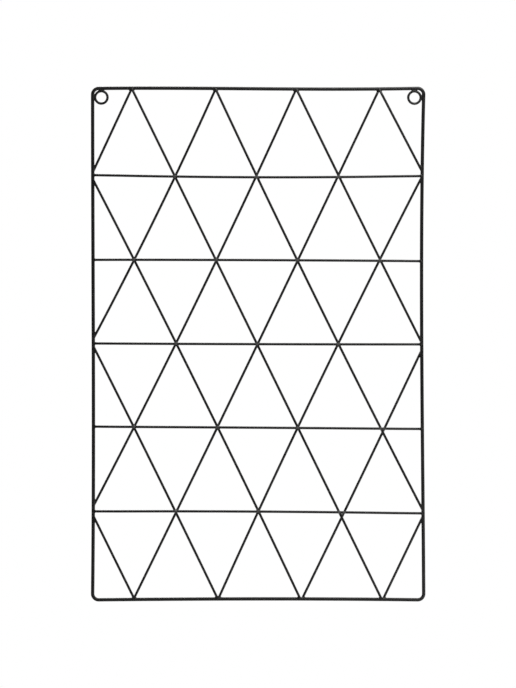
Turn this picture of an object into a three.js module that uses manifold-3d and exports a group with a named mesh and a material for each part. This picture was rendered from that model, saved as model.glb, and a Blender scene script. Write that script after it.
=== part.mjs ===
// A wire grid memo board: a frame bent from one round rod, level wires and two families of slanting wires
// welded into a field of triangles, and a ring inside each top corner to hang it by.
import * as THREE from 'three';
import Module from 'manifold-3d';
import { mergeVertices } from 'three/addons/utils/BufferGeometryUtils.js';

const wasm = await Module();
wasm.setup();

// Driving sizes in millimetres. X runs across the board, +Z is up and +Y points at the wall behind it.
const board_width = 400;
const board_height = 615.6;
const rod_diameter = 4.2;
const corner_radius = 7.2; // to the middle of the rod
const wire_diameter = 3;
const level_pitch = 100.1; // from one level wire to the next
const ring_diameter = 14.8; // to the middle of its wire
const clearance = 0.3; // left between two pieces where the real ones are welded

// The welds shrink as they cool and draw each side of the frame towards the middle of the board. A bow is even
// over the side. A sway is added to it over the upper or right half, and taken off over the other.
const right_bow = 2.35;
const top_bow = 0.45;
const left_bow = 0.8;
const bottom_bow = 1.1;
const right_sway = 1.5;
const top_sway = 1.4;
const left_sway = -0.85;
const bottom_sway = 0.15;

// Counts.
const cells_across = 4;
const rows_down = 6;
const section_sides = 10;
const corner_steps = 8;
const side_steps = 12;
const wire_steps = 8;
const bend_steps = 6;
const ring_steps = 24;

// Each level wire, from the top: where its left and right ends were welded, above or below their place, and
// how far its middle bows up, as shares of the level pitch.
const level_wire_shares = [
  { left: 0.018, right: 0.007, bow: -0.022 },
  { left: 0.006, right: -0.01, bow: 0.004 },
  { left: 0.008, right: -0.003, bow: -0.003 },
  { left: 0.015, right: -0.013, bow: 0.002 },
  { left: 0.003, right: -0.021, bow: 0.011 },
];

// Each slanting wire, from one weld on the frame down to the other. A place is counted in half cells from
// the left side and in rows from the top. The shares say how far an end was welded from that place, along
// the side it sits on, and how far the middle of the wire bows to the right. They are shares of the cell
// width, and of the level pitch for an end that slips up or down.
const falling_wire_shares = [
  { from: [7, 0], to: [8, 1], start: -0.04, end: 0.056, bow: 0 },
  { from: [5, 0], to: [8, 3], start: -0.039, end: 0.014, bow: -0.007 },
  { from: [3, 0], to: [8, 5], start: -0.017, end: 0.008, bow: -0.032 },
  { from: [1, 0], to: [7, 6], start: -0.029, end: -0.007, bow: 0.003 },
  { from: [0, 1], to: [5, 6], start: -0.027, end: 0.009, bow: 0.028 },
  { from: [0, 3], to: [3, 6], start: -0.022, end: 0.013, bow: 0.009 },
  { from: [0, 5], to: [1, 6], start: -0.046, end: 0.008, bow: 0 },
];
const rising_wire_shares = [
  { from: [1, 0], to: [0, 1], start: -0.027, end: 0.053, bow: 0 },
  { from: [3, 0], to: [0, 3], start: -0.013, end: 0.065, bow: 0.032 },
  { from: [5, 0], to: [0, 5], start: -0.041, end: 0.064, bow: 0.044 },
  { from: [7, 0], to: [1, 6], start: -0.036, end: -0.007, bow: 0.014 },
  { from: [8, 1], to: [3, 6], start: 0.004, end: 0.018, bow: -0.04 },
  { from: [8, 3], to: [5, 6], start: -0.071, end: 0.031, bow: 0.006 },
  { from: [8, 5], to: [7, 6], start: -0.053, end: 0.009, bow: 0 },
];

// A level wire bends in to meet the frame over this part of the half cell beside it.
const level_bend_share = 0.75;

// Worked out from the sizes above.
const quarter_turn = Math.PI / 2;
const rod_radius = rod_diameter / 2;
const wire_radius = wire_diameter / 2;
const ring_radius = ring_diameter / 2;
const half_width = (board_width - rod_diameter) / 2; // from the middle of the board to the middle of the rod
const half_height = (board_height - rod_diameter) / 2;
const cell_width = (2 * half_width) / cells_across;

// The wires lie in three layers, each clear of the next: the level wires in front, then the falling and then
// the rising wires. The two slanting layers straddle the middle of the rod, so both can meet its inner side.
const layer_pitch = wire_diameter + clearance;
const falling_layer = -layer_pitch / 2;
const rising_layer = layer_pitch / 2;
const level_layer = falling_layer - layer_pitch;

const black_coat = { color: 0x1c1b1b, roughness: 0.5, metalness: 0 };

function named(name, geometry) {
  const mesh = new THREE.Mesh(geometry, new THREE.MeshStandardMaterial(black_coat));
  mesh.name = name;
  return mesh;
}

// A line from point to point that a tube follows in steps as uneven as the points are, so that a bend can
// have short steps and a straight stretch long ones.
class PointLine extends THREE.Curve {
  constructor(points, closed = false) {
    super();
    this.points = closed ? [...points, points[0]] : points;
  }

  getPoint(share, target = new THREE.Vector3()) {
    const place = share * (this.points.length - 1);
    const index = Math.min(Math.floor(place), this.points.length - 2);
    return target.lerpVectors(this.points[index], this.points[index + 1], place - index);
  }

  getUtoTmapping(share) {
    return share;
  }
}

// A round wire along points, with a flat at its back and front and square ends.
function wireAlong(points) {
  const section = [];
  for (let side = 0; side < section_sides; side += 1) {
    const angle = ((side + 0.5) / section_sides) * 4 * quarter_turn;
    section.push(new THREE.Vector2(Math.cos(angle), Math.sin(angle)).multiplyScalar(wire_radius));
  }
  const steps = points.length - 1;
  return new THREE.ExtrudeGeometry(new THREE.Shape(section), { steps, extrudePath: new PointLine(points) });
}

// How far a line is bowed at a place from -1 at one of its ends through 0 at its middle to 1.
function bowedBy(bow, place) {
  return bow * (1 - place * place);
}

// The sides of the frame, each with the way in which the outline runs along it: with or against X or Z.
const right_side = { bow: right_bow, sway: right_sway, way: 1 };
const top_side = { bow: top_bow, sway: top_sway, way: -1 };
const left_side = { bow: left_bow, sway: left_sway, way: -1 };
const bottom_side = { bow: bottom_bow, sway: bottom_sway, way: 1 };

// How far a side is drawn in at a place from -1 at its lower or left bend to 1 at the other.
function drawnIn({ bow, sway }, place) {
  return bowedBy(bow + sway * place, place);
}

// The frame's outline seen from the front, inset from the middle of the rod. It starts at the middle of the
// bottom, where the ends of the rod are joined, and runs up the right side first.
function frameOutline(inset) {
  const right = half_width - corner_radius;
  const top = half_height - corner_radius;
  const sides = [right_side, top_side, left_side, bottom_side];
  const corners = [[right, -top], [right, top], [-right, top], [-right, -top]];
  const centres = corners.map(([x, z]) => new THREE.Vector2(x, z));
  const outline = [];
  centres.forEach((centre, index) => {
    const start = (index - 1) * quarter_turn;
    for (let step = 0; step <= corner_steps; step += 1) {
      const angle = start + (quarter_turn * step) / corner_steps;
      const outward = new THREE.Vector2(Math.cos(angle), Math.sin(angle));
      outline.push(centre.clone().addScaledVector(outward, corner_radius - inset));
    }
    const next = centres[(index + 1) % centres.length];
    const outward = new THREE.Vector2(Math.cos(start + quarter_turn), Math.sin(start + quarter_turn));
    for (let step = 1; step < side_steps; step += 1) {
      const along = step / side_steps;
      const place = sides[index].way * (2 * along - 1);
      const reach = corner_radius - inset - drawnIn(sides[index], place);
      outline.push(centre.clone().lerp(next, along).addScaledVector(outward, reach));
    }
  });
  return [...outline.slice(-side_steps / 2), ...outline.slice(0, -side_steps / 2)];
}

// The frame is one rod, bent at four corners and joined end to end.
function frameRod() {
  const points = frameOutline(0).map((point) => new THREE.Vector3(point.x, 0, point.y));
  return new THREE.TubeGeometry(new PointLine(points, true), points.length, rod_radius, section_sides, true);
}

function toSolid(geometry) {
  const bare = geometry.clone();
  bare.deleteAttribute('normal');
  bare.deleteAttribute('uv');
  const merged = mergeVertices(bare);
  const vertProperties = new Float32Array(merged.attributes.position.array);
  const triVerts = new Uint32Array(merged.index.array);
  return new wasm.Manifold(new wasm.Mesh({ numProp: 3, vertProperties, triVerts }));
}

function toGeometry(solid) {
  const mesh = solid.getMesh();
  const geometry = new THREE.BufferGeometry();
  geometry.setAttribute('position', new THREE.BufferAttribute(mesh.vertProperties, 3));
  geometry.setIndex(new THREE.BufferAttribute(mesh.triVerts, 1));
  geometry.computeVertexNormals();
  return geometry;
}

// The space inside the frame, as deep as all the layers. A wire that runs on to the middle of the rod is
// trimmed by it to a slanted end that lies along the rod's inner side.
function fieldInsideFrame() {
  const depth = 4 * layer_pitch + 2 * rod_diameter;
  const field = new THREE.ExtrudeGeometry(new THREE.Shape(frameOutline(rod_radius + clearance)), {
    depth,
    bevelEnabled: false,
  });
  field.rotateX(quarter_turn);
  field.translate(0, depth / 2, 0);
  return toSolid(field);
}

const field = fieldInsideFrame();

function trimmedToFrame(geometry) {
  return toGeometry(toSolid(geometry).intersect(field));
}

// The height of a row's line above the middle of the board. The first and last rows lie on the frame.
function rowHeight(row) {
  if (row === 0) return half_height;
  if (row === rows_down) return -half_height;
  return (rows_down / 2 - row) * level_pitch;
}

function levelWire(row, { left, right, bow }) {
  const bend_length = level_bend_share * (cell_width / 2);
  const distances = [];
  for (let step = 0; step <= bend_steps; step += 1) {
    distances.push((bend_length * step) / bend_steps);
  }
  const middle_length = 2 * (half_width - bend_length);
  for (let step = 1; step < wire_steps; step += 1) {
    distances.push(bend_length + (middle_length * step) / wire_steps);
  }
  for (let step = bend_steps; step >= 0; step -= 1) {
    distances.push(2 * half_width - (bend_length * step) / bend_steps);
  }
  const points = distances.map((distance) => {
    const along = distance / (2 * half_width);
    const to_frame = Math.min(distance, 2 * half_width - distance);
    const forward = THREE.MathUtils.smoothstep(to_frame, 0, bend_length);
    const slip = THREE.MathUtils.lerp(left, right, along) + bowedBy(bow, 2 * along - 1);
    return new THREE.Vector3(
      distance - half_width,
      THREE.MathUtils.lerp(falling_layer, level_layer, forward),
      rowHeight(row) + slip * level_pitch,
    );
  });
  return trimmedToFrame(wireAlong(points));
}

// A weld's place on the bowed frame. An end on the top or bottom slips sideways, one on a side up or down.
function weldPlace([half_cells, row], slip) {
  const x = (half_cells / 2) * cell_width - half_width;
  const on_side = half_cells === 0 || half_cells === 2 * cells_across;
  if (on_side) {
    const z = rowHeight(row) + slip * level_pitch;
    const side = half_cells === 0 ? left_side : right_side;
    return new THREE.Vector2(x - Math.sign(x) * drawnIn(side, z / (half_height - corner_radius)), z);
  }
  const slipped = x + slip * cell_width;
  const side = row === 0 ? top_side : bottom_side;
  const drawn_in = drawnIn(side, slipped / (half_width - corner_radius));
  return new THREE.Vector2(slipped, rowHeight(row) - Math.sign(rowHeight(row)) * drawn_in);
}

function slantingWire(layer, { from, to, start, end, bow }) {
  const first = weldPlace(from, start);
  const last = weldPlace(to, end);
  const points = [];
  for (let step = 0; step <= wire_steps; step += 1) {
    const along = step / wire_steps;
    const place = first.clone().lerp(last, along);
    points.push(new THREE.Vector3(place.x + bowedBy(bow, 2 * along - 1) * cell_width, layer, place.y));
  }
  return trimmedToFrame(wireAlong(points));
}

// A ring touches the top and one side of the frame. Where the bend is wider than the ring, it touches the
// bend instead, so it is never closer to a corner than its own size lets it be.
const ring_reach = ring_radius + wire_radius + clearance;
const bend_inside = corner_radius - rod_radius;
const diagonal_share = Math.SQRT1_2;
const ring_seat = Math.max(ring_reach, (1 - diagonal_share) * bend_inside + diagonal_share * ring_reach);
const ring_inset = rod_radius + ring_seat;

function hangingRing(name, side) {
  const ring = new THREE.TorusGeometry(ring_radius, wire_radius, section_sides, ring_steps);
  ring.rotateX(quarter_turn);
  const mesh = named(name, ring);
  mesh.position.set(side * (half_width - ring_inset), 0, half_height - ring_inset);
  return mesh;
}

const board = new THREE.Group();
board.add(named('frame_rod', frameRod()));
level_wire_shares.forEach((shares, index) => {
  board.add(named(`level_wire_${index + 1}`, levelWire(index + 1, shares)));
});
falling_wire_shares.forEach((shares, index) => {
  board.add(named(`falling_wire_${index + 1}`, slantingWire(falling_layer, shares)));
});
rising_wire_shares.forEach((shares, index) => {
  board.add(named(`rising_wire_${index + 1}`, slantingWire(rising_layer, shares)));
});
board.add(hangingRing('hanging_ring_left', -1));
board.add(hangingRing('hanging_ring_right', 1));

// The board hangs from a nail through each ring, so its origin is midway between the two points where the
// nails carry it: the highest points of the rings' holes.
const hook_height = half_height - ring_inset + ring_radius - wire_radius;
board.position.z = -hook_height;

const memo_board = new THREE.Group();
memo_board.add(board);
export default memo_board;
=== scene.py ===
# %% [markdown]
# # A wire grid memo board
# The board is a panel of steel wire that hangs on a wall, for photographs and notes that are clipped to it.
# One thick rod makes the frame. Five level wires and fourteen slanting ones are welded into it, and a ring
# sits inside each top corner. Everything wears the same black powder coat.
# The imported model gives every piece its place. Here each wire is drawn again as a smooth round tube. The
# flat prints of the welder's electrodes are pressed into the outer wires, and the welds that hold the panel
# together are added.

import math

import bmesh
import bpy
from mathutils import Matrix, Vector


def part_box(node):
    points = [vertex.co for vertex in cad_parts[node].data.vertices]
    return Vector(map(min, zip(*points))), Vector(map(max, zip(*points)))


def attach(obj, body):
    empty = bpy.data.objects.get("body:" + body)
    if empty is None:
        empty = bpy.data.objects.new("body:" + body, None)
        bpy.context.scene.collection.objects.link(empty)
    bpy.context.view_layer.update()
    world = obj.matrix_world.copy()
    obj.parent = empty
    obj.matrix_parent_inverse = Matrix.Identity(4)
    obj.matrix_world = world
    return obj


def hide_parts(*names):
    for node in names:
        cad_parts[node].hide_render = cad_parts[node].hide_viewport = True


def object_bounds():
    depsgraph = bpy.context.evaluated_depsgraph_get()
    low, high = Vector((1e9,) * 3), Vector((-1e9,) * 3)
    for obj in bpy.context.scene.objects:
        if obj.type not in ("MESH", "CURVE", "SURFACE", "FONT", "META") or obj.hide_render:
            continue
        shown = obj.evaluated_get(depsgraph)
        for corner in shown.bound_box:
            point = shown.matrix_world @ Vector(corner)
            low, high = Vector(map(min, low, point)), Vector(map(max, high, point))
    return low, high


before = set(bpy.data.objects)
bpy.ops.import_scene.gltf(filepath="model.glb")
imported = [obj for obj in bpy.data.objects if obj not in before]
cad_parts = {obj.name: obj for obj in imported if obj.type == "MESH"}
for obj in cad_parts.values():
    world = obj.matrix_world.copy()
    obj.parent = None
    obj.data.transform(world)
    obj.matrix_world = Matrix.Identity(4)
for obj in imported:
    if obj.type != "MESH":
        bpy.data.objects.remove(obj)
cad_low, cad_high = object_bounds()
print("the packed board runs from", tuple(cad_low), "to", tuple(cad_high))

# %% [markdown]
# ## Driving sizes
# A board like this is made from stock wire, so two diameters and a few spacings fix everything else.
# The board hangs on two nails, and the line between them is its origin. It runs through the highest points
# of the rings' holes, so the middle of the board lies a fixed height below it. The sizes below are the ones
# the rod and the wires are ordered in, and every other size is worked out from them.

# %% Driving sizes in metres
millimetre = 0.001
board_width = 400 * millimetre
board_height = 615.6 * millimetre
rod_radius = 2.1 * millimetre
corner_radius = 7.2 * millimetre
wire_radius = 1.5 * millimetre
level_pitch = 100.1 * millimetre
ring_radius = 7.4 * millimetre
clearance = 0.3 * millimetre
cells_across = 4
rows_down = 6

half_width = board_width / 2 - rod_radius
half_height = board_height / 2 - rod_radius
cell_width = 2 * half_width / cells_across
ring_inset = ring_radius + wire_radius + clearance + rod_radius
hook_height = half_height - ring_inset + ring_radius - wire_radius
board_middle = Vector((0, 0, -hook_height))
rod_low, rod_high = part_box("frame_rod")
print("the middle of the board is", tuple(board_middle))
print("the middle of the packed rod is", tuple((rod_low + rod_high) / 2))

# %% [markdown]
# ## Three layers of wire
# The level wires lie in front, the falling wires behind them and the rising wires at the back. The two
# slanting layers straddle the middle of the rod, so both can be welded to its inner side.

# %% Depth of each layer
layer_pitch = 2 * wire_radius + clearance
falling_layer = -layer_pitch / 2
rising_layer = layer_pitch / 2
level_layer = falling_layer - layer_pitch
print("level", level_layer, "falling", falling_layer, "rising", rising_layer)

# %% [markdown]
# ## Where the welder put each wire
# A hand-loaded jig never puts a wire quite in its place, and the welds shrink as they cool. So each end is
# a little off its mark and each wire bows a little. The shares below are parts of the level pitch, for a
# slip up or down, or of the cell width, for a slip to the side. The sides of the frame are drawn in too:
# each has a bow that is even over its length, and a sway that adds to it over the upper or right half.

# %% Slips and bows
right_bow, right_sway = 2.35 * millimetre, 1.5 * millimetre
top_bow, top_sway = 0.45 * millimetre, 1.4 * millimetre
left_bow, left_sway = 0.8 * millimetre, -0.85 * millimetre
bottom_bow, bottom_sway = 1.1 * millimetre, 0.15 * millimetre

# Left end, right end and bow of each level wire, from the top.
level_shares = [
    (0.018, 0.007, -0.022),
    (0.006, -0.01, 0.004),
    (0.008, -0.003, -0.003),
    (0.015, -0.013, 0.002),
    (0.003, -0.021, 0.011),
]
# Each slanting wire: the half cell and row of its two ends, their slips, and its bow to the right.
falling_shares = [
    ((7, 0), (8, 1), -0.04, 0.056, 0),
    ((5, 0), (8, 3), -0.039, 0.014, -0.007),
    ((3, 0), (8, 5), -0.017, 0.008, -0.032),
    ((1, 0), (7, 6), -0.029, -0.007, 0.003),
    ((0, 1), (5, 6), -0.027, 0.009, 0.028),
    ((0, 3), (3, 6), -0.022, 0.013, 0.009),
    ((0, 5), (1, 6), -0.046, 0.008, 0),
]
rising_shares = [
    ((1, 0), (0, 1), -0.027, 0.053, 0),
    ((3, 0), (0, 3), -0.013, 0.065, 0.032),
    ((5, 0), (0, 5), -0.041, 0.064, 0.044),
    ((7, 0), (1, 6), -0.036, -0.007, 0.014),
    ((8, 1), (3, 6), 0.004, 0.018, -0.04),
    ((8, 3), (5, 6), -0.071, 0.031, 0.006),
    ((8, 5), (7, 6), -0.053, 0.009, 0),
]
print(len(level_shares), "level wires,", len(falling_shares) + len(rising_shares), "slanting wires")

# %% [markdown]
# ## The bowed outline
# Every bow is the same shallow curve: nothing at the ends of a side and most in its middle. One helper
# gives it, and others give the middle of the rod at any height or distance across. Because the sway grows
# along the side, the curve leans a little towards one end, as a hand-straightened rod does.

# %% Places on the frame's middle line
straight_half_width = half_width - corner_radius
straight_half_height = half_height - corner_radius


def bowed(bow, place):
    """The bow at a place that runs from -1 at one end to 1 at the other."""
    return bow * (1 - place * place)


def side_x(side, z):
    """The rod's middle on the left (-1) or right (1) side, at a height above the board's middle."""
    bow, sway = (right_bow, right_sway) if side > 0 else (left_bow, left_sway)
    place = z / straight_half_height
    return side * (half_width - bowed(bow + sway * place, place))


def edge_z(edge, x):
    """The rod's middle along the bottom (-1) or top (1), at a distance from the board's middle."""
    bow, sway = (top_bow, top_sway) if edge > 0 else (bottom_bow, bottom_sway)
    place = x / straight_half_width
    return edge * (half_height - bowed(bow + sway * place, place))


def row_height(row):
    """Height of a row of the grid above the board's middle."""
    if row in (0, rows_down):
        return half_height if row == 0 else -half_height
    return (rows_down / 2 - row) * level_pitch


print("the right side bows in by", half_width - side_x(1, 0))

# %% [markdown]
# ## Drawing a wire
# A wire mill pulls a rod through a round hole. In Blender the same thing is a circle that is extruded step
# by step: each step grows a new ring of vertices and moves it to the next place on the route, turned
# square to it. This keeps the wire round in every bend, and its faces stay clean quads. A closed frame
# ends where it began, so its last ring is bridged to its first, and an open wire has its ends filled.

# %% A helper that draws wire
wire_sides = 20
rod_sides = 24


def standing(route, step, closed):
    """A matrix at one step of a route, its Z along the route and its X as near as can be to depth."""
    if closed:
        before, after = route[step - 1], route[(step + 1) % len(route)]
    else:
        before, after = route[max(step - 1, 0)], route[min(step + 1, len(route) - 1)]
    along = (after - before).normalized()
    depth = Vector((0, 1, 0))
    depth = (depth - along * depth.dot(along)).normalized()
    across = along.cross(depth)
    turned = Matrix((depth, across, along)).transposed().to_4x4()
    return Matrix.Translation(route[step]) @ turned


def draw_wire(route, radius, sides, closed=False):
    """A bmesh tube along a route of points."""
    wire = bmesh.new()
    places = [standing(route, step, closed) for step in range(len(route))]
    bmesh.ops.create_circle(wire, cap_ends=False, segments=sides, radius=radius, matrix=places[0])
    ring = wire.edges[:]
    first_ring = ring
    for before, after in zip(places, places[1:]):
        grown = bmesh.ops.extrude_edge_only(wire, edges=ring)["geom"]
        corners = [part for part in grown if isinstance(part, bmesh.types.BMVert)]
        ring = [part for part in grown if isinstance(part, bmesh.types.BMEdge) and part.is_boundary]
        bmesh.ops.transform(wire, matrix=after @ before.inverted(), verts=corners)
    if closed:
        bmesh.ops.bridge_loops(wire, edges=first_ring + ring)
    else:
        bmesh.ops.holes_fill(wire, edges=first_ring + ring, sides=0)
    return wire


print("a wire has", wire_sides, "sides and the rod", rod_sides)

# %% [markdown]
# ## Making a piece of it
# Each finished shape becomes an object that stays at the origin, with its place in its mesh, as the packed
# pieces are. Its normals are made to point outwards, its faces are shaded smooth, and it rides on the
# board's one body. The rod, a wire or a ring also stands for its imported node, which is then hidden. A weld
# stands for none.

# %% A helper that finishes a piece


def finish_piece(shape, name, coat, *nodes):
    """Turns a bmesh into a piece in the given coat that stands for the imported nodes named."""
    bmesh.ops.recalc_face_normals(shape, faces=shape.faces[:])
    mesh = bpy.data.meshes.new(name)
    shape.to_mesh(mesh)
    shape.free()
    for face in mesh.polygons:
        face.use_smooth = True
    mesh.materials.append(coat)
    piece = bpy.data.objects.new(name, mesh)
    bpy.context.scene.collection.objects.link(piece)
    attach(piece, "root")
    if nodes:
        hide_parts(*nodes)
    return piece


print("pieces ride on the body root")

# %% [markdown]
# ## Wiring up a coat
# A coat is a network of nodes. It could be laid out by hand in the shader editor. A few helpers keep it
# short here: they add a node, link what goes into it and hand on what comes out. A noise takes its size in
# metres, since Object coordinates are metres too. Its values seldom leave the middle of their range, so
# they are often spread from there onto the whole range.

# %% Small helpers for nodes
usual_noise = (0.3, 0.7)


def add_node(tree, kind, **settings):
    """Adds a node and sets its options."""
    node = tree.nodes.new(kind)
    for option, value in settings.items():
        setattr(node, option, value)
    return node


def new_group(name, inputs, outputs):
    """An empty shader node group with float or vector sockets."""
    tree = bpy.data.node_groups.new(name, "ShaderNodeTree")
    for socket, kind, value in inputs:
        made = tree.interface.new_socket(socket, in_out="INPUT", socket_type=kind)
        if value is not None:
            made.default_value = value
    for socket, kind in outputs:
        tree.interface.new_socket(socket, in_out="OUTPUT", socket_type=kind)
    return tree, tree.nodes.new("NodeGroupInput"), tree.nodes.new("NodeGroupOutput")


def noise(tree, place, size, detail=2.0, roughness=0.5):
    """Noise whose lumps are about the given size in metres."""
    node = add_node(tree, "ShaderNodeTexNoise", noise_dimensions="3D")
    node.inputs["Scale"].default_value = 1 / size
    node.inputs["Detail"].default_value = detail
    node.inputs["Roughness"].default_value = roughness
    tree.links.new(place, node.inputs["Vector"])
    return node.outputs["Fac"]


def spread(tree, value, between, onto=(0, 1)):
    """Maps a value between two limits onto another range."""
    node = add_node(tree, "ShaderNodeMapRange")
    for socket, number in zip(("From Min", "From Max", "To Min", "To Max"), (*between, *onto)):
        node.inputs[socket].default_value = number
    tree.links.new(value, node.inputs["Value"])
    return node.outputs["Result"]


def combine(tree, operation, first, second):
    """A math node on two sockets or numbers."""
    node = add_node(tree, "ShaderNodeMath", operation=operation)
    for socket, value in zip(node.inputs, (first, second)):
        if isinstance(value, (int, float)):
            socket.default_value = value
        else:
            tree.links.new(value, socket)
    return node.outputs[0]


print("the helpers for nodes are ready")

# %% [markdown]
# ## The powder coat
# Black powder is sprayed on dry and melts into one tough skin. Close up it isn't smooth: it sets in low
# bumps like orange skin, with a finer grain on top. Both are bump made from noise on Object coordinates,
# so they have a real size in metres. The effect is a node group, because the rod, the wires and the welds
# all use it. Each coat then sets how deep its skin is.

# %% The orange skin group
peel_size = 1.6 * millimetre
grain_size = 0.22 * millimetre
shine_size = 9 * millimetre

peel, peel_in, peel_out = new_group(
    "orange_skin",
    [
        ("Place", "NodeSocketVector", None),
        ("Peel", "NodeSocketFloat", 0.7),
        ("Grain", "NodeSocketFloat", 0.3),
    ],
    [("Height", "NodeSocketFloat"), ("Shine", "NodeSocketFloat")],
)
low_bumps = noise(peel, peel_in.outputs["Place"], peel_size, detail=1.0)
fine_grain = noise(peel, peel_in.outputs["Place"], grain_size)
bumps_part = combine(peel, "MULTIPLY", low_bumps, peel_in.outputs["Peel"])
grain_part = combine(peel, "MULTIPLY", fine_grain, peel_in.outputs["Grain"])
peel.links.new(combine(peel, "ADD", bumps_part, grain_part), peel_out.inputs["Height"])
shine_patches = noise(peel, peel_in.outputs["Place"], shine_size, detail=3.0)
peel.links.new(spread(peel, shine_patches, usual_noise), peel_out.inputs["Shine"])
print("node group", peel.name)

# %% [markdown]
# ## Dust with painted top light, and rubbed paint
# A board that has hung for a while holds a trace of dust on whatever faces up. The same pale grey on the tops
# of the wires is also a painted highlight of the light from above. Clips and fingers rub the coat a little
# lighter in patches. The dust group reads the direction that a surface faces and breaks it up with noise.
# Both are faint, so that the coat still looks nearly even.

# %% The dust group and the rub group
fleck_size = 0.3 * millimetre
drift_size = 45 * millimetre
patch_size = 26 * millimetre
scuff_size = 1.1 * millimetre

# Upward faces turn a paler grey: partly settled dust, partly painted light from above on the tops of the
# wires.
dust_and_light_group, dust_and_light_in, dust_and_light_out = new_group(
    "dust_and_painted_top_light",
    [("Place", "NodeSocketVector", None), ("Amount", "NodeSocketFloat", 0.5)],
    [("Dust_and_light", "NodeSocketFloat")],
)
lie = add_node(dust_and_light_group, "ShaderNodeNewGeometry")
tilt = add_node(dust_and_light_group, "ShaderNodeSeparateXYZ")
dust_and_light_group.links.new(lie.outputs["Normal"], tilt.inputs["Vector"])
upward = spread(dust_and_light_group, tilt.outputs["Z"], (0.15, 0.95))
flecks = noise(dust_and_light_group, dust_and_light_in.outputs["Place"], fleck_size, detail=4.0, roughness=0.7)
flecks = spread(dust_and_light_group, flecks, (0.35, 0.7), (0.6, 1))
drift = noise(dust_and_light_group, dust_and_light_in.outputs["Place"], drift_size)
drift = spread(dust_and_light_group, drift, usual_noise, (0.5, 1))
dust_and_light_share = combine(dust_and_light_group, "MULTIPLY", combine(dust_and_light_group, "MULTIPLY", flecks, drift), upward)
dust_and_light_group.links.new(combine(dust_and_light_group, "MULTIPLY", dust_and_light_share, dust_and_light_in.outputs["Amount"]), dust_and_light_out.inputs["Dust_and_light"])

rub, rub_in, rub_out = new_group(
    "rubbed_coat",
    [("Place", "NodeSocketVector", None), ("Amount", "NodeSocketFloat", 0.5)],
    [("Rub", "NodeSocketFloat")],
)
patches = noise(rub, rub_in.outputs["Place"], patch_size, detail=3.0)
patches = spread(rub, patches, (0.45, 0.72))
scuffs = noise(rub, rub_in.outputs["Place"], scuff_size, detail=5.0, roughness=0.65)
scuffs = spread(rub, scuffs, (0.42, 0.66))
rub_mask = combine(rub, "MULTIPLY", patches, scuffs)
rub.links.new(combine(rub, "MULTIPLY", rub_mask, rub_in.outputs["Amount"]), rub_out.inputs["Rub"])
print("node groups", dust_and_light_group.name, "and", rub.name)

# %% [markdown]
# ## Three coats
# The same powder looks a little different on each part. It lies thickest and smoothest on the frame rod and
# thinner on the wires. It gathers in the corners of a weld, where it is duller. The flat print of an
# electrode
# is painted greyer: a painted highlight, the shine of its flat face. Where those prints are is known from a
# number that each corner of a wire's mesh carries, and the coat reads it as an attribute. Each coat is a
# material that uses the groups with its own values. Colour, roughness and bump all change over the surface.

# %% A helper that mixes a coat
cloud_size = 32 * millimetre
bump_strength = 0.6
dust_matting = 0.3
# The grey of the prints is a painted highlight: the shine of the flat electrode faces.
print_painted_highlight = (0.06, 0.059, 0.058, 1)
rubbed_grey = (0.06, 0.058, 0.056, 1)
# The grey of the dust is also painted top light: the tops of the wires as if lit from above.
dust_and_top_light_grey = (0.21, 0.20, 0.18, 1)


def lay_over(tree, under, over, mask):
    """Mixes a colour over the colour below it where the mask is high."""
    node = add_node(tree, "ShaderNodeMix", data_type="RGBA")
    node.inputs["B"].default_value = over
    tree.links.new(mask, node.inputs["Factor"])
    tree.links.new(under, node.inputs["A"])
    return node.outputs["Result"]


def place_group(tree, group, place, amount=None):
    """Puts a node group in a coat's tree."""
    node = add_node(tree, "ShaderNodeGroup", node_tree=group)
    if amount is not None:
        node.inputs["Amount"].default_value = amount
    tree.links.new(place, node.inputs["Place"])
    return node


def powder_coat(name, deep, pale, roughest, smoothest, peel_depth, dust_and_top_light_amount, rub_amount):
    """A black powder coat between two colours and two roughnesses."""
    coat = bpy.data.materials.new(name)
    coat.use_nodes = True
    tree = coat.node_tree
    surface = tree.nodes["Principled BSDF"]
    surface.inputs["IOR"].default_value = 1.5
    surface.inputs["Specular IOR Level"].default_value = 0.3
    place = add_node(tree, "ShaderNodeTexCoord").outputs["Object"]
    skin = place_group(tree, peel, place)
    dust_and_top_light = place_group(tree, dust_and_light_group, place, dust_and_top_light_amount).outputs["Dust_and_light"]
    rubbed = place_group(tree, rub, place, rub_amount).outputs["Rub"]

    cloud = spread(tree, noise(tree, place, cloud_size, detail=3.0), usual_noise)
    base = add_node(tree, "ShaderNodeMix", data_type="RGBA")
    base.inputs["A"].default_value = (*deep, 1)
    base.inputs["B"].default_value = (*pale, 1)
    tree.links.new(cloud, base.inputs["Factor"])
    print_highlight_mask = add_node(tree, "ShaderNodeAttribute", attribute_name="print_highlight_mask").outputs["Fac"]
    # A painted highlight on each electrode flat.
    colour = lay_over(tree, base.outputs["Result"], print_painted_highlight, spread(tree, print_highlight_mask, (0.65, 0.97)))
    colour = lay_over(tree, colour, rubbed_grey, rubbed)
    # Upward faces paler: partly dust, partly a painted highlight of the light from above.
    colour = lay_over(tree, colour, dust_and_top_light_grey, dust_and_top_light)
    tree.links.new(colour, surface.inputs["Base Color"])

    sheen = spread(tree, skin.outputs["Shine"], (0, 1), (roughest, smoothest))
    matted = combine(tree, "ADD", sheen, combine(tree, "MULTIPLY", dust_and_top_light, dust_matting))
    tree.links.new(matted, surface.inputs["Roughness"])
    bump = add_node(tree, "ShaderNodeBump")
    bump.inputs["Strength"].default_value = bump_strength
    bump.inputs["Distance"].default_value = peel_depth
    tree.links.new(skin.outputs["Height"], bump.inputs["Height"])
    tree.links.new(bump.outputs["Normal"], surface.inputs["Normal"])
    return coat


print("the colour of a coat drifts over", cloud_size)

# %% [markdown]
# ## A coat for each part
# Each coat goes from a deep black to a slightly paler one over patches about three centimetres wide. Its
# sheen changes over patches about one centimetre wide. The rod has the smoothest paint, the paint of the
# wires varies a little more, and that of the welds is the palest and dullest.

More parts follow.
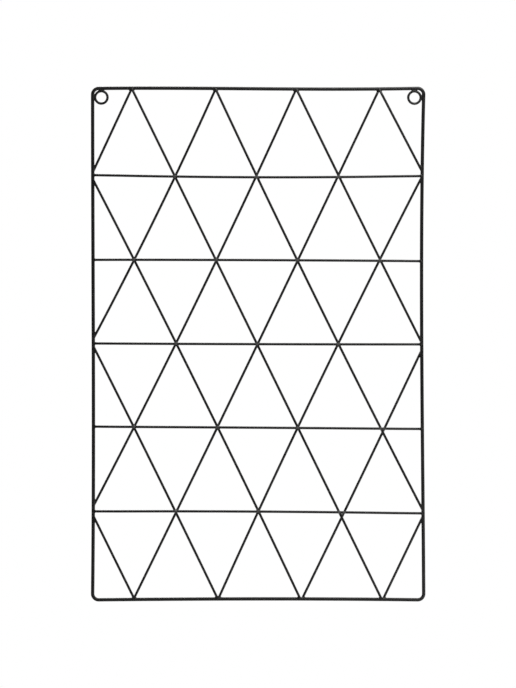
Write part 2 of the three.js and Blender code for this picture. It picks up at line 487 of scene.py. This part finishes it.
# %% The coats
rod_coat = powder_coat(
    "frame_rod_coat",
    deep=(0.004, 0.004, 0.004),
    pale=(0.007, 0.0069, 0.0067),
    roughest=0.52,
    smoothest=0.42,
    peel_depth=0.06 * millimetre,
    dust_and_top_light_amount=0.15,
    rub_amount=0.3,
)
wire_coat = powder_coat(
    "wire_coat",
    deep=(0.004, 0.004, 0.004),
    pale=(0.0075, 0.0074, 0.0072),
    roughest=0.54,
    smoothest=0.44,
    peel_depth=0.05 * millimetre,
    dust_and_top_light_amount=0.15,
    rub_amount=0.3,
)
weld_coat = powder_coat(
    "weld_coat",
    deep=(0.005, 0.005, 0.005),
    pale=(0.009, 0.0089, 0.0086),
    roughest=0.56,
    smoothest=0.46,
    peel_depth=0.06 * millimetre,
    dust_and_top_light_amount=0.1,
    rub_amount=0.3,
)
print("coats", rod_coat.name, wire_coat.name, weld_coat.name)

# %% [markdown]
# ## The frame
# The real frame is one rod bent round four pins and joined end to end at the bottom. Its route here is
# four sides, each with its slight bow, and a quarter circle at each corner. Short steps in the corners
# keep them round, and long ones on the sides save faces.

# %% The frame's route
corner_steps = 14
side_steps = 40
turn = 2 * math.pi


def on_board(x, depth, z):
    """A point given from the middle of the board."""
    return board_middle + Vector((x, depth, z))


def corner_route(side, edge, start_angle):
    """Quarter circle round one corner, anticlockwise seen from the front."""
    points = []
    for step in range(corner_steps + 1):
        angle = start_angle + turn / 4 * step / corner_steps
        x = side * straight_half_width + corner_radius * math.cos(angle)
        z = edge * straight_half_height + corner_radius * math.sin(angle)
        points.append(on_board(x, 0, z))
    return points


def side_route(reach, place):
    """Points between two corners, without the corners' own end points."""
    shares = [2 * step / side_steps - 1 for step in range(1, side_steps)]
    return [place(share * reach) for share in shares]


frame_route = (
    side_route(straight_half_width, lambda x: on_board(x, 0, edge_z(-1, x)))
    + corner_route(1, -1, -turn / 4)
    + side_route(straight_half_height, lambda z: on_board(side_x(1, z), 0, z))
    + corner_route(1, 1, 0)
    + side_route(straight_half_width, lambda x: on_board(-x, 0, edge_z(1, -x)))
    + corner_route(-1, 1, turn / 4)
    + side_route(straight_half_height, lambda z: on_board(side_x(-1, -z), 0, -z))
    + corner_route(-1, -1, turn / 2)
)
finish_piece(draw_wire(frame_route, rod_radius, rod_sides, closed=True), "board_frame", rod_coat, "frame_rod")
print("the frame's route has", len(frame_route), "steps")

# %% [markdown]
# ## Lines of the grid
# Before the wires are drawn, each gets its line: a function from a share of its length to a point. A
# level wire bends back to the frame at both ends, in a soft S, so that it meets the rod where the falling
# wires do. The lines are needed again to find where the wires cross.

# %% Line of each wire
bend_share = 0.375
level_bend = bend_share * cell_width


def smooth(share):
    """Rises from 0 to 1 with level ends."""
    share = min(max(share, 0), 1)
    return share * share * (3 - 2 * share)


def blend(first, last, share):
    """The value at a share of the way from the first to the last."""
    return first + (last - first) * share


def level_line(number):
    """The line of a level wire, from its left end to its right."""
    left, right, bow = level_shares[number - 1]
    height = row_height(number)

    def place(share):
        x = blend(-half_width, half_width, share)
        z = height + (blend(left, right, share) + bowed(bow, 2 * share - 1)) * level_pitch
        to_frame = half_width - abs(x)
        depth = blend(falling_layer, level_layer, smooth(to_frame / level_bend))
        return on_board(x, depth, z)

    return place


def weld_place(mark, slip):
    """Where a slanting wire meets the rod's middle line: x and z from the board's middle."""
    half_cells, row = mark
    if half_cells in (0, 2 * cells_across):
        z = row_height(row) + slip * level_pitch
        return Vector((side_x(-1 if half_cells == 0 else 1, z), 0, z))
    x = half_cells / 2 * cell_width - half_width + slip * cell_width
    return Vector((x, 0, edge_z(1 if row == 0 else -1, x)))


def slanting_line(shares, depth):
    """The line of a slanting wire, from its upper end to its lower."""
    start_mark, end_mark, start_slip, end_slip, bow = shares
    first = weld_place(start_mark, start_slip)
    last = weld_place(end_mark, end_slip)

    def place(share):
        at = blend(first, last, share)
        return on_board(at.x + bowed(bow, 2 * share - 1) * cell_width, depth, at.z)

    return place


level_lines = [level_line(number + 1) for number in range(len(level_shares))]
falling_lines = [slanting_line(shares, falling_layer) for shares in falling_shares]
rising_lines = [slanting_line(shares, rising_layer) for shares in rising_shares]
print("the level wires bend over the last", level_bend)

# %% [markdown]
# ## Where wires cross
# Seen from the front, two wires cross where one passes from one side of the other to the other side. The
# point is found by halving: the share on the first line is moved until it lies on the second. A slanting
# wire is nearly straight, so its sideways distance from a point is read at the point's height.

# %% A helper that finds a crossing
halvings = 40


def share_at_height(line, z):
    """Share of a slanting line that lies at a height."""
    top, bottom = line(0).z, line(1).z
    return (top - z) / (top - bottom)


def side_of(line, point):
    """How far a point lies to the right of a slanting line."""
    return point.x - line(share_at_height(line, point.z)).x


def crossing(first, second):
    """The share of the first line where it crosses the second, or None."""
    low, high = 0.0, 1.0
    if side_of(second, first(low)) * side_of(second, first(high)) > 0:
        return None
    for _ in range(halvings):
        middle = (low + high) / 2
        if side_of(second, first(low)) * side_of(second, first(middle)) <= 0:
            high = middle
        else:
            low = middle
    share = (low + high) / 2
    across = share_at_height(second, first(share).z)
    return share if 0 < across < 1 else None


print("the first level wire crosses the fourth falling one at", crossing(level_lines[0], falling_lines[3]))

# %% [markdown]
# ## Every weld of the grid
# Each level wire is tried against each falling and each rising wire, and the slanting wires against each
# other. A crossing that lies on the frame is left out, since the weld there belongs to the frame.

# %% Crossings
edge_room = 8 * millimetre


def inside(point):
    """Whether a point is clear of the frame, so that its weld isn't one of the frame's."""
    from_middle = point - board_middle
    return abs(from_middle.x) < half_width - edge_room and abs(from_middle.z) < half_height - edge_room


def crossings(first_lines, second_lines):
    """Every inside crossing: numbers of both lines and the share of the first."""
    found = []
    for first_number, first in enumerate(first_lines):
        for second_number, second in enumerate(second_lines):
            share = crossing(first, second)
            if share is not None and inside(first(share)):
                found.append((first_number, second_number, share))
    return found


level_on_falling = crossings(level_lines, falling_lines)
level_on_rising = crossings(level_lines, rising_lines)
falling_on_rising = crossings(falling_lines, rising_lines)
print("crossings:", len(level_on_falling), len(level_on_rising), len(falling_on_rising))

# %% [markdown]
# ## Wires with pressed flats
# A spot welder pinches the stack of wires between two flat electrodes. That leaves a small flat on the
# front of the level wire and on the back of the rising wire. Short steps near each crossing give the
# tube enough rings there, and then the vertices that stand proud of the electrode's face are moved back
# to it. They are marked, so that the coat paints a highlight on each flat.

# %% A helper that presses flats
flat_reach = 4.5 * millimetre
flat_depth = 0.45 * millimetre
fine_step = 0.75 * millimetre
long_step = 9 * millimetre


def stepped_route(line, spots):
    """Points along a line, close together near each spot."""
    length = (line(1) - line(0)).length
    shares = {step / round(length / long_step) for step in range(round(length / long_step) + 1)}
    for spot in spots:
        steps = round(flat_reach / fine_step) + 1
        shares |= {spot + step * fine_step / length for step in range(-steps, steps + 1)}
    ordered = sorted(share for share in shares if 0 <= share <= 1)
    kept = [ordered[0]]
    for share in ordered[1:]:
        if (share - kept[-1]) * length > fine_step / 2:
            kept.append(share)
    kept[-1] = 1.0
    return [line(share) for share in kept]


def press_flat(wire, print_highlight_mask, spot, facing):
    """Presses the wire flat round a spot, on its front (-1) or its back (1), and marks the print for its
    painted highlight.
    """
    for corner in wire.verts:
        off = math.hypot(corner.co.x - spot.x, corner.co.z - spot.z)
        pressed = flat_depth * (1 - (off / flat_reach) ** 2)
        if pressed > 0:
            face = facing * spot.y + wire_radius - pressed
            corner.co.y = facing * min(facing * corner.co.y, face)
            on_front = facing * (corner.co.y - spot.y) > 0
            corner[print_highlight_mask] = max(corner[print_highlight_mask], pressed / flat_depth) if on_front else 0


print("a flat is", flat_depth, "deep and reaches", flat_reach)

# %% [markdown]
# ## Cutting the wires to length
# At the frame a wire stops inside the rod, a little short of the rod's middle, so that no end shows. It is
# sliced parallel to the rod, as a shear would leave it, and the cut is filled.

# %% A helper for cut wires
end_inset = 0.9 * millimetre


def slice_end(wire, mark, outward):
    """Cuts the wire off near the rod's middle, parallel to the rod, and fills the cut."""
    bmesh.ops.bisect_plane(
        wire,
        geom=wire.verts[:] + wire.edges[:] + wire.faces[:],
        plane_co=mark - outward * end_inset,
        plane_no=outward,
        clear_outer=True,
    )
    open_edges = [edge for edge in wire.edges if edge.is_boundary]
    bmesh.ops.holes_fill(wire, edges=open_edges, sides=0)


def outward_from(point):
    """The direction out of the board at a point on the frame's middle line."""
    from_middle = point - board_middle
    if half_width - abs(from_middle.x) < half_height - abs(from_middle.z):
        return Vector((math.copysign(1, from_middle.x), 0, 0))
    return Vector((0, 0, math.copysign(1, from_middle.z)))


def frame_mark(line, end):
    """Where a line's end lies on the rod's middle line. A level line runs on past it, so it is cut short."""
    mark = line(end)
    from_middle = mark - board_middle
    rod_x = side_x(math.copysign(1, from_middle.x), from_middle.z)
    if abs(from_middle.x) > abs(rod_x):
        mark.x = rod_x
    return mark


def make_wire(line, spots, facing, name, node):
    """A wire along its line, pressed flat on one face at its spots and cut at the frame."""
    wire = draw_wire(stepped_route(line, spots), wire_radius, wire_sides)
    print_highlight_mask = wire.verts.layers.float.new("print_highlight_mask")
    for spot in spots:
        press_flat(wire, print_highlight_mask, line(spot), facing)
    for end in (0, 1):
        mark = frame_mark(line, end)
        slice_end(wire, mark, outward_from(mark))
    return finish_piece(wire, name, wire_coat, node)


print("each end is cut", end_inset, "short of the rod's middle")

# %% [markdown]
# ## The level wires
# The five level wires lie in front, so the electrode leaves its prints on their front faces, one at each
# crossing with a slanting wire.

# %% The level wires
for number, line in enumerate(level_lines):
    spots = [share for first, _, share in level_on_falling + level_on_rising if first == number]
    make_wire(line, spots, -1, f"level_strand_{number + 1}", f"level_wire_{number + 1}")
    print("level strand", number + 1, "pressed at", len(spots), "places")

# %% [markdown]
# ## The slanting wires
# The falling wires lie in the middle of the stack and keep their round shape. The rising wires are at the
# back, where the other electrode presses on them behind each level wire.

# %% The slanting wires
for number, line in enumerate(falling_lines):
    make_wire(line, [], 0, f"falling_strand_{number + 1}", f"falling_wire_{number + 1}")
for number, line in enumerate(rising_lines):
    heights = [level_lines[first](share).z for first, second, share in level_on_rising if second == number]
    spots = [share_at_height(line, height) for height in heights]
    make_wire(line, spots, 1, f"rising_strand_{number + 1}", f"rising_wire_{number + 1}")
print("slanting strands", len(falling_lines) + len(rising_lines))

# %% [markdown]
# ## The hanging rings
# Each ring is a scrap of the same wire bent into a circle. A full spin of one round section makes it, with
# the last copy of the section merged into the first. That is quicker than drawing it along a route. The hot
# rings were pressed into the corners, the left one harder, so they lie a little nearer the frame than the
# packed ones.

# %% The rings
ring_sides = 48
ring_presses = {-1: (0.9 * millimetre, 0.6 * millimetre), 1: (0.25 * millimetre, 0.4 * millimetre)}


def ring_middle(side):
    """The middle of the ring in the left (-1) or right (1) corner."""
    outwards, upwards = ring_presses[side]
    return on_board(side * (half_width - ring_inset + outwards), 0, half_height - ring_inset + upwards)


for side, word in ((-1, "left"), (1, "right")):
    ring = bmesh.new()
    section = Matrix.Translation(ring_middle(side) + Vector((ring_radius, 0, 0)))
    bmesh.ops.create_circle(ring, cap_ends=False, segments=wire_sides, radius=wire_radius, matrix=section)
    bmesh.ops.spin(ring, geom=ring.verts[:] + ring.edges[:], cent=ring_middle(side), axis=(0, 1, 0),
                   angle=turn, steps=ring_sides, use_merge=True, use_duplicate=False)
    finish_piece(ring, f"corner_ring_{word}", wire_coat, f"hanging_ring_{word}")
print("ring middles", tuple(ring_middle(-1)), tuple(ring_middle(1)))

# %% [markdown]
# ## Welds
# Where two pieces were hot enough to melt, the metal ran together and the powder filled the creases. What
# shows is only the fillets. They are made by closing the gaps: cores that lie inside the wires are drawn too
# fat by a swell, a Remesh modifier fuses them into one skin, and the skin is then shrunk by the same swell.
# Out in the open it ends up inside the wires again, but in a crease it can't get back, and a fillet stays.
# The shrinking goes in small steps with smoothing between them, so that the skin stays even.

# %% A helper that fuses cores into fillets
weld_grain = 0.33 * millimetre
swell = 1.0 * millimetre
shrink_steps = 5
core_sides = 20
core_gap = 0.1 * millimetre
core_taper = 0.5 * millimetre
core_end = 2 * millimetre
dome_shares = (0.07, 0.14, 0.21)


def core_steps(reach):
    """Where a core's route has its points: its two ends and the places where its tapers start."""
    return -reach, core_end - reach, reach - core_end, reach


def round_end(last, before, radius):
    """Stations that close a core in a dome: points past its last point, with their radii."""
    ahead = (last - before).normalized() * radius
    angles = [turn * share for share in dome_shares]
    return [(last + ahead * math.sin(angle), radius * math.cos(angle)) for angle in angles]


def add_core(knot, route, radius):
    """Fat rods end to end along a route. The first and the last taper to a dome."""
    middle_radius = radius - core_gap + swell
    end_radius = middle_radius - core_taper
    stations = round_end(route[0], route[1], end_radius)[::-1]
    stations += [(route[0], end_radius)]
    stations += [(point, middle_radius) for point in route[1:-1]]
    stations += [(route[-1], end_radius)]
    stations += round_end(route[-1], route[-2], end_radius)
    for (first, first_radius), (last, last_radius) in zip(stations, stations[1:]):
        along = last - first
        turned = along.to_track_quat("Z", "Y").to_matrix().to_4x4()
        at = Matrix.Translation((first + last) / 2)
        bmesh.ops.create_cone(knot, cap_ends=True, segments=core_sides, radius1=first_radius,
                              radius2=last_radius, depth=along.length, matrix=at @ turned)


def fuse(knot):
    """Remeshes a bmesh into one skin and shrinks it by the swell."""
    draft = bpy.data.meshes.new("weld_draft")
    knot.to_mesh(draft)
    knot.free()
    rig = bpy.data.objects.new("weld_draft", draft)
    bpy.context.scene.collection.objects.link(rig)
    remesh = rig.modifiers.new("fuse", "REMESH")
    remesh.mode = "VOXEL"
    remesh.voxel_size = weld_grain
    solid = rig.evaluated_get(bpy.context.evaluated_depsgraph_get())
    skin = bmesh.new()
    skin.from_mesh(solid.data)
    for _ in range(shrink_steps):
        bmesh.ops.smooth_vert(skin, verts=skin.verts[:], factor=0.5, use_axis_x=True, use_axis_y=True,
                              use_axis_z=True)
        skin.normal_update()
        for corner in skin.verts:
            corner.co -= corner.normal * swell / shrink_steps
    bpy.data.objects.remove(rig)
    bpy.data.meshes.remove(draft)
    return skin


print("the welds have a grain of", weld_grain)

# %% [markdown]
# ## Welds of the grid
# The electrodes squeezed the wires of a crossing into each other. So the core of a level wire lies a little
# behind its middle and the core of a rising wire a little before its own: that leaves the two flat prints
# clear and lets the fillets fill the sharp corners of the cross. Where a crossing missed its level wire, the
# fillets simply fall in different places.

# %% The grid's welds
core_reach = 5.2 * millimetre
squeeze = 0.5 * millimetre
row_reach = 12 * millimetre


def core_route(line, share, shift):
    """A short route along a line at a share of its length, shifted in depth."""
    length = (line(1) - line(0)).length
    return [line(share + step / length) + Vector((0, shift, 0)) for step in core_steps(core_reach)]


for number, level in enumerate(level_lines):
    knot = bmesh.new()
    for first, second, share in level_on_falling:
        if first == number:
            falling = falling_lines[second]
            add_core(knot, core_route(level, share, squeeze), wire_radius)
            add_core(knot, core_route(falling, share_at_height(falling, level(share).z), 0), wire_radius)
    for first, second, share in falling_on_rising:
        spot = falling_lines[first](share)
        if abs(spot.z - level(0.5).z) < row_reach:
            rising = rising_lines[second]
            add_core(knot, core_route(falling_lines[first], share, 0), wire_radius)
            add_core(knot, core_route(rising, share_at_height(rising, spot.z), -squeeze), wire_radius)
    piece = finish_piece(fuse(knot), f"grid_welds_{number + 1}", weld_coat)
    print(piece.name, len(piece.data.polygons), "faces")

# %% [markdown]
# ## Welds of the frame
# Every wire ends in the side of the rod. The weld there is a small collar round the wire that spreads
# along the rod. It is made like the others, from a core in the wire and one in the rod.

# %% The frame's welds
collar_reach = 4 * millimetre
seat_reach = 5.5 * millimetre
near_end = 0.02

wire_ends = {"top": [], "bottom": [], "left": [], "right": []}
for line in level_lines + falling_lines + rising_lines:
    for end in (0, 1):
        mark = frame_mark(line, end)
        into_field = (line(abs(end - near_end)) - line(end)).normalized()
        outward = outward_from(mark)
        if abs(outward.x) > abs(outward.z):
            word = "right" if outward.x > 0 else "left"
        else:
            word = "top" if outward.z > 0 else "bottom"
        wire_ends[word].append((mark, into_field, outward))

for word, ends in wire_ends.items():
    knot = bmesh.new()
    for mark, into_field, outward in ends:
        to_side = rod_radius / abs(into_field.dot(outward))
        reaches = (0, to_side, to_side + collar_reach - core_end, to_side + collar_reach)
        add_core(knot, [mark + into_field * reach for reach in reaches], wire_radius)
        along_rod = Vector((0, 1, 0)).cross(outward)
        seat = Vector((mark.x, 0, mark.z))
        seat += along_rod * along_rod.dot(into_field) * to_side
        add_core(knot, [seat + along_rod * step for step in core_steps(seat_reach)], rod_radius)
    piece = finish_piece(fuse(knot), f"frame_welds_{word}", weld_coat)
    print(piece.name, len(ends), "welds,", len(piece.data.polygons), "faces")

# %% [markdown]
# ## Welds of the rings
# Each ring touches the top and the side of the frame. The bead fills the wedge between the ring and the
# rod, so its cores are a short arc of the ring and a short length of the rod.

# %% The rings' welds
arc_reach = turn / 12
arc_steps = 6
ring_seat_reach = 3.6 * millimetre

for side, word in ((-1, "left"), (1, "right")):
    knot = bmesh.new()
    for outward in (Vector((side, 0, 0)), Vector((0, 0, 1))):
        along_rod = Vector((0, 1, 0)).cross(outward)
        angles = [arc_reach * (2 * step / arc_steps - 1) for step in range(arc_steps + 1)]
        arc = [outward * math.cos(angle) + along_rod * math.sin(angle) for angle in angles]
        add_core(knot, [ring_middle(side) + spoke * ring_radius for spoke in arc], wire_radius)
        rod_middle = on_board(side * half_width, 0, half_height)
        seat = ring_middle(side) + outward * outward.dot(rod_middle - ring_middle(side))
        add_core(knot, [seat + along_rod * step for step in core_steps(ring_seat_reach)], rod_radius)
    piece = finish_piece(fuse(knot), f"ring_welds_{word}", weld_coat)
    print(piece.name, len(piece.data.polygons), "faces")

# %% [markdown]
# ## Camera
# The photograph was taken square on, with the board's sides parallel to the picture's. A long lens four
# metres away keeps them so. The view is as tall as the picture shows, and the camera stands a fraction of a
# millimetre off the board's middle because the board is a fraction of a pixel off the picture's.

# %% The camera
picture_height = 688
pixel_size = 1.1956 * millimetre
pixels_right, pixels_up = -0.155, 0.1
camera_distance = 4.0
sensor_height = 24.0
far_clip = 60.0

eye = bpy.data.cameras.new("picture_camera")
eye.sensor_fit = "VERTICAL"
eye.sensor_height = sensor_height
eye.lens = sensor_height * camera_distance / (picture_height * pixel_size)
eye.clip_end = far_clip
camera = bpy.data.objects.new("picture_camera", eye)
camera.location = board_middle + Vector((0, -camera_distance, 0))
camera.location += Vector((pixels_right, 0, pixels_up)) * pixel_size
camera.rotation_euler = (turn / 4, 0, 0)
bpy.context.scene.collection.objects.link(camera)
bpy.context.scene.camera = camera
print("lens", eye.lens, "mm")

# %% [markdown]
# ## Light
# The picture's light comes mostly from above: the level wires are paler than the slanting ones. A long
# narrow lamp does that. It runs from overhead towards the camera, so a level wire mirrors it and a standing
# one doesn't. The right half is also a little paler than the left. Light from a lamp that is close by falls
# off quickly, so two small soft lamps stand near the right side, one above it and one low down. A large
# lamp lights the back and the floor, and the surroundings add an even, dim light.

# %% The lamps
narrow, long = 0.3, 2.2
near_size = 0.25
far_size = 1.2
right_side = board_middle + Vector((0.3, 0, 0))


def add_lamp(name, place, target, width, length, power):
    """A soft oblong lamp that points at a target."""
    lamp = bpy.data.lights.new(name, "AREA")
    lamp.shape = "RECTANGLE"
    lamp.size = width
    lamp.size_y = length
    lamp.energy = power
    holder = bpy.data.objects.new(name, lamp)
    holder.visible_camera = False
    holder.location = place
    holder.rotation_euler = (Vector(target) - Vector(place)).to_track_quat("-Z", "Y").to_euler()
    bpy.context.scene.collection.objects.link(holder)


add_lamp("key_lamp", (0.5, -1.0, 1.5), board_middle, narrow, long, power=22)
add_lamp("upper_lamp", (0.3, -0.3, 0.4), right_side, near_size, near_size, power=3)
add_lamp("lower_lamp", (0.42, -0.4, -0.68), board_middle, near_size, near_size, power=1)
add_lamp("back_lamp", (-0.8, 2.2, 1.4), board_middle, far_size, far_size, power=42)
print("four lamps")

# %% [markdown]
# ## Surroundings
# A studio's walls send back a little light from every side. The world gives it here: some from behind the
# board, more from overhead and a trace from everywhere. The camera sees plain white instead, and so do
# reflections of what lies behind the board.

# %% The surroundings
behind_light = 0.05
overhead_light = 0.12
dim_light = 0.045
white = (1, 1, 1, 1)

world = bpy.data.worlds.new("studio")
bpy.context.scene.world = world
world.use_nodes = True
sky = world.node_tree
sky.nodes.clear()
ray = add_node(sky, "ShaderNodeLightPath")
direction = add_node(sky, "ShaderNodeTexCoord")
split = add_node(sky, "ShaderNodeSeparateXYZ")
sky.links.new(direction.outputs["Generated"], split.inputs["Vector"])
behind = spread(sky, split.outputs["Y"], (-0.2, 0.6))
overhead = spread(sky, split.outputs["Z"], (-0.2, 1.0))
from_behind = combine(sky, "MULTIPLY", behind, behind_light)
from_above = combine(sky, "MULTIPLY", overhead, overhead_light)
level_of_light = combine(sky, "ADD", combine(sky, "ADD", from_behind, from_above), dim_light)
surroundings = add_node(sky, "ShaderNodeBackground")
surroundings.inputs["Color"].default_value = white
sky.links.new(level_of_light, surroundings.inputs["Strength"])
backdrop = add_node(sky, "ShaderNodeBackground")
backdrop.inputs["Color"].default_value = white
backdrop.inputs["Strength"].default_value = 1
shows_backdrop = combine(sky, "MAXIMUM", ray.outputs["Is Glossy Ray"], ray.outputs["Is Transmission Ray"])
shows_backdrop = combine(sky, "MULTIPLY", shows_backdrop, behind)
shows_backdrop = combine(sky, "MAXIMUM", shows_backdrop, ray.outputs["Is Camera Ray"])
mixed = add_node(sky, "ShaderNodeMixShader")
sky.links.new(shows_backdrop, mixed.inputs["Fac"])
sky.links.new(surroundings.outputs[0], mixed.inputs[1])
sky.links.new(backdrop.outputs[0], mixed.inputs[2])
sky.links.new(mixed.outputs[0], add_node(sky, "ShaderNodeOutputWorld").inputs["Surface"])
print("the background is white for the camera")

# %% [markdown]
# ## Floor
# The board hangs clear of a pale floor. The floor is round and far enough below that it stays out of the
# picture, but from higher up it shows and takes the board's soft shadow. Away from the middle it fades
# into the white of the backdrop, so that no edge shows.

# %% The floor
floor_drop = 0.35
floor_reach = 2.4
floor_sides = 96
floor_colour = (0.88, 0.88, 0.875, 1)
fade_start = 0.5

plate = bmesh.new()
bmesh.ops.create_circle(plate, cap_ends=True, segments=floor_sides, radius=floor_reach)
floor_mesh = bpy.data.meshes.new("studio_floor")
plate.to_mesh(floor_mesh)
plate.free()
floor_paint = bpy.data.materials.new("pale_floor")
floor_paint.use_nodes = True
paint = floor_paint.node_tree
floor_surface = paint.nodes["Principled BSDF"]
floor_surface.inputs["Base Color"].default_value = floor_colour
floor_surface.inputs["Roughness"].default_value = 0.9
distance = add_node(paint, "ShaderNodeVectorMath", operation="LENGTH")
paint.links.new(add_node(paint, "ShaderNodeTexCoord").outputs["Object"], distance.inputs[0])
fade = spread(paint, distance.outputs["Value"], (fade_start, floor_reach))
floor_ray = add_node(paint, "ShaderNodeLightPath")
seen = combine(paint, "MAXIMUM", floor_ray.outputs["Is Camera Ray"], floor_ray.outputs["Is Glossy Ray"])
seen = combine(paint, "MAXIMUM", seen, floor_ray.outputs["Is Transmission Ray"])
glow = add_node(paint, "ShaderNodeEmission")
glow.inputs["Strength"].default_value = 1
faded = add_node(paint, "ShaderNodeMixShader")
paint.links.new(combine(paint, "MULTIPLY", fade, seen), faded.inputs[0])
paint.links.new(floor_surface.outputs[0], faded.inputs[1])
paint.links.new(glow.outputs[0], faded.inputs[2])
paint.links.new(faded.outputs[0], paint.nodes["Material Output"].inputs["Surface"])
floor_mesh.materials.append(floor_paint)
floor = bpy.data.objects.new("studio_floor", floor_mesh)
floor.location.z = cad_low.z - floor_drop
bpy.context.scene.collection.objects.link(floor)
print("the floor lies at", floor.location.z)

# %% [markdown]
# The Standard view shows a colour as it is written.

# %% Finish
bpy.context.scene.view_settings.view_transform = "Standard"
